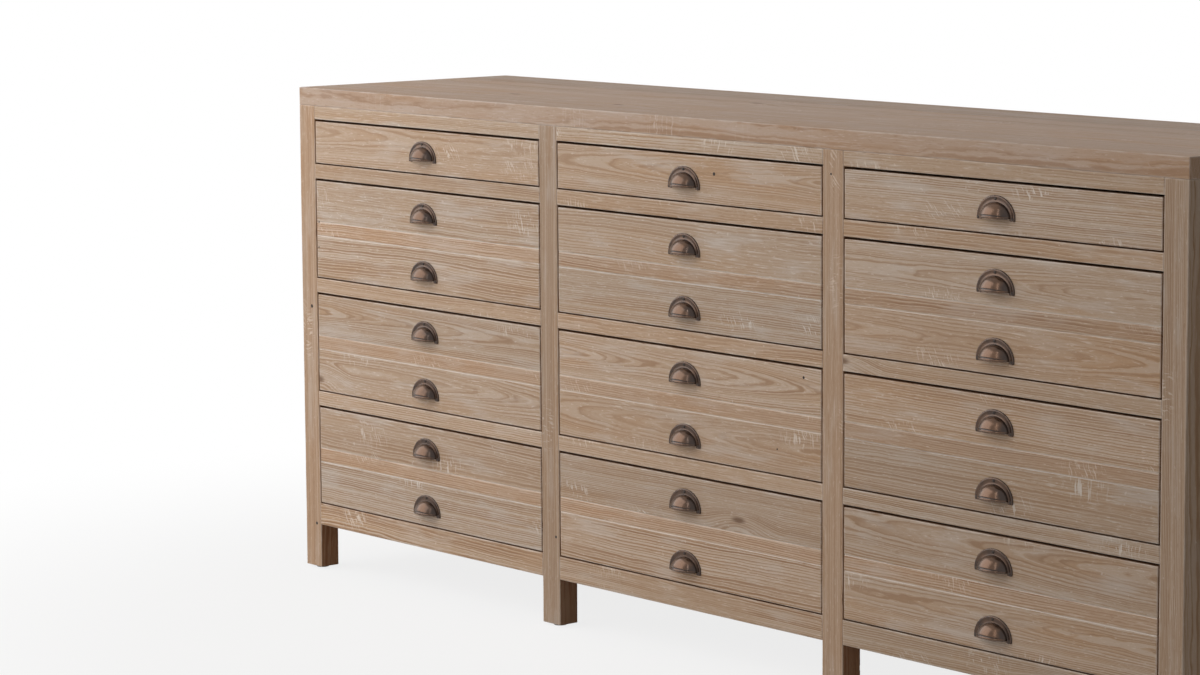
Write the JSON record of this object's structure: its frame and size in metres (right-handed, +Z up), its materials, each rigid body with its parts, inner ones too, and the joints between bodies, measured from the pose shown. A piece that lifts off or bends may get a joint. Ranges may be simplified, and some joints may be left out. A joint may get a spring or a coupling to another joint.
{
  "type": "apothecary chest",
  "caption": "Long low chest on short square legs, with rows of flush inset drawers that slide out on wooden runners and open by bronze cup pulls.",
  "frame": {"origin": "on the floor, under the middle of the chest's box, pulls included", "axes": "+X to the right along the length, as seen from the front; the drawers open towards -Y; +Z up"},
  "size_m": [2.2, 0.515, 0.914],
  "materials": {
    "frame_wood": "limed and brushed",
    "top_wood": "limed and brushed",
    "drawer_wood": "limed and brushed",
    "inner_wood": "bare planed pine",
    "pull_bronze": "dark antique bronze, worn to copper on the high spots",
    "screw_steel": "plain",
    "glide_plastic": "matt"
  },
  "bodies": {
    "carcass": {"top_planks": "top_wood", "top_screws": "screw_steel", "foot_glides": "glide_plastic", "top_rails": "frame_wood", "divider_rails": "frame_wood", "bottom_rails": "frame_wood", "back_rails": "frame_wood", "back_boards": "inner_wood", "side_rails": "frame_wood", "left_side_boards": "frame_wood", "right_side_boards": "frame_wood", "partitions": "inner_wood", "drawer_runners": "inner_wood", "drawer_guides": "inner_wood", "top_kickers": "inner_wood", "drawer_stops": "inner_wood", "front_post_left": "frame_wood", "front_post_mid_left": "frame_wood", "front_post_mid_right": "frame_wood", "front_post_right": "frame_wood", "back_post_left": "frame_wood", "back_post_mid_left": "frame_wood", "back_post_mid_right": "frame_wood", "back_post_right": "frame_wood"},
    "drawer_left_top": {"drawer_front_left_top": "drawer_wood", "drawer_box_left_top": "inner_wood", "drawer_pulls_left_top": "pull_bronze"},
    "drawer_left_second": {"drawer_front_left_second": "drawer_wood", "drawer_box_left_second": "inner_wood", "drawer_pulls_left_second": "pull_bronze"},
    "drawer_left_third": {"drawer_front_left_third": "drawer_wood", "drawer_box_left_third": "inner_wood", "drawer_pulls_left_third": "pull_bronze"},
    "drawer_left_bottom": {"drawer_front_left_bottom": "drawer_wood", "drawer_box_left_bottom": "inner_wood", "drawer_pulls_left_bottom": "pull_bronze"},
    "drawer_middle_top": {"drawer_front_middle_top": "drawer_wood", "drawer_box_middle_top": "inner_wood", "drawer_pulls_middle_top": "pull_bronze"},
    "drawer_middle_second": {"drawer_front_middle_second": "drawer_wood", "drawer_box_middle_second": "inner_wood", "drawer_pulls_middle_second": "pull_bronze"},
    "drawer_middle_third": {"drawer_front_middle_third": "drawer_wood", "drawer_box_middle_third": "inner_wood", "drawer_pulls_middle_third": "pull_bronze"},
    "drawer_middle_bottom": {"drawer_front_middle_bottom": "drawer_wood", "drawer_box_middle_bottom": "inner_wood", "drawer_pulls_middle_bottom": "pull_bronze"},
    "drawer_right_top": {"drawer_front_right_top": "drawer_wood", "drawer_box_right_top": "inner_wood", "drawer_pulls_right_top": "pull_bronze"},
    "drawer_right_second": {"drawer_front_right_second": "drawer_wood", "drawer_box_right_second": "inner_wood", "drawer_pulls_right_second": "pull_bronze"},
    "drawer_right_third": {"drawer_front_right_third": "drawer_wood", "drawer_box_right_third": "inner_wood", "drawer_pulls_right_third": "pull_bronze"},
    "drawer_right_bottom": {"drawer_front_right_bottom": "drawer_wood", "drawer_box_right_bottom": "inner_wood", "drawer_pulls_right_bottom": "pull_bronze"}
  },
  "joints": [
    {"name": "drawer_left_top_slide", "type": "slide", "parent": "carcass", "child": "drawer_left_top", "axis": [0, -1, 0], "range_m": [0, 0.36]},
    {"name": "drawer_left_second_slide", "type": "slide", "parent": "carcass", "child": "drawer_left_second", "axis": [0, -1, 0], "range_m": [0, 0.36]},
    {"name": "drawer_left_third_slide", "type": "slide", "parent": "carcass", "child": "drawer_left_third", "axis": [0, -1, 0], "range_m": [0, 0.36]},
    {"name": "drawer_left_bottom_slide", "type": "slide", "parent": "carcass", "child": "drawer_left_bottom", "axis": [0, -1, 0], "range_m": [0, 0.36]},
    {"name": "drawer_middle_top_slide", "type": "slide", "parent": "carcass", "child": "drawer_middle_top", "axis": [0, -1, 0], "range_m": [0, 0.36]},
    {"name": "drawer_middle_second_slide", "type": "slide", "parent": "carcass", "child": "drawer_middle_second", "axis": [0, -1, 0], "range_m": [0, 0.36]},
    {"name": "drawer_middle_third_slide", "type": "slide", "parent": "carcass", "child": "drawer_middle_third", "axis": [0, -1, 0], "range_m": [0, 0.36]},
    {"name": "drawer_middle_bottom_slide", "type": "slide", "parent": "carcass", "child": "drawer_middle_bottom", "axis": [0, -1, 0], "range_m": [0, 0.36]},
    {"name": "drawer_right_top_slide", "type": "slide", "parent": "carcass", "child": "drawer_right_top", "axis": [0, -1, 0], "range_m": [0, 0.36]},
    {"name": "drawer_right_second_slide", "type": "slide", "parent": "carcass", "child": "drawer_right_second", "axis": [0, -1, 0], "range_m": [0, 0.36]},
    {"name": "drawer_right_third_slide", "type": "slide", "parent": "carcass", "child": "drawer_right_third", "axis": [0, -1, 0], "range_m": [0, 0.36]},
    {"name": "drawer_right_bottom_slide", "type": "slide", "parent": "carcass", "child": "drawer_right_bottom", "axis": [0, -1, 0], "range_m": [0, 0.36]}
  ]
}
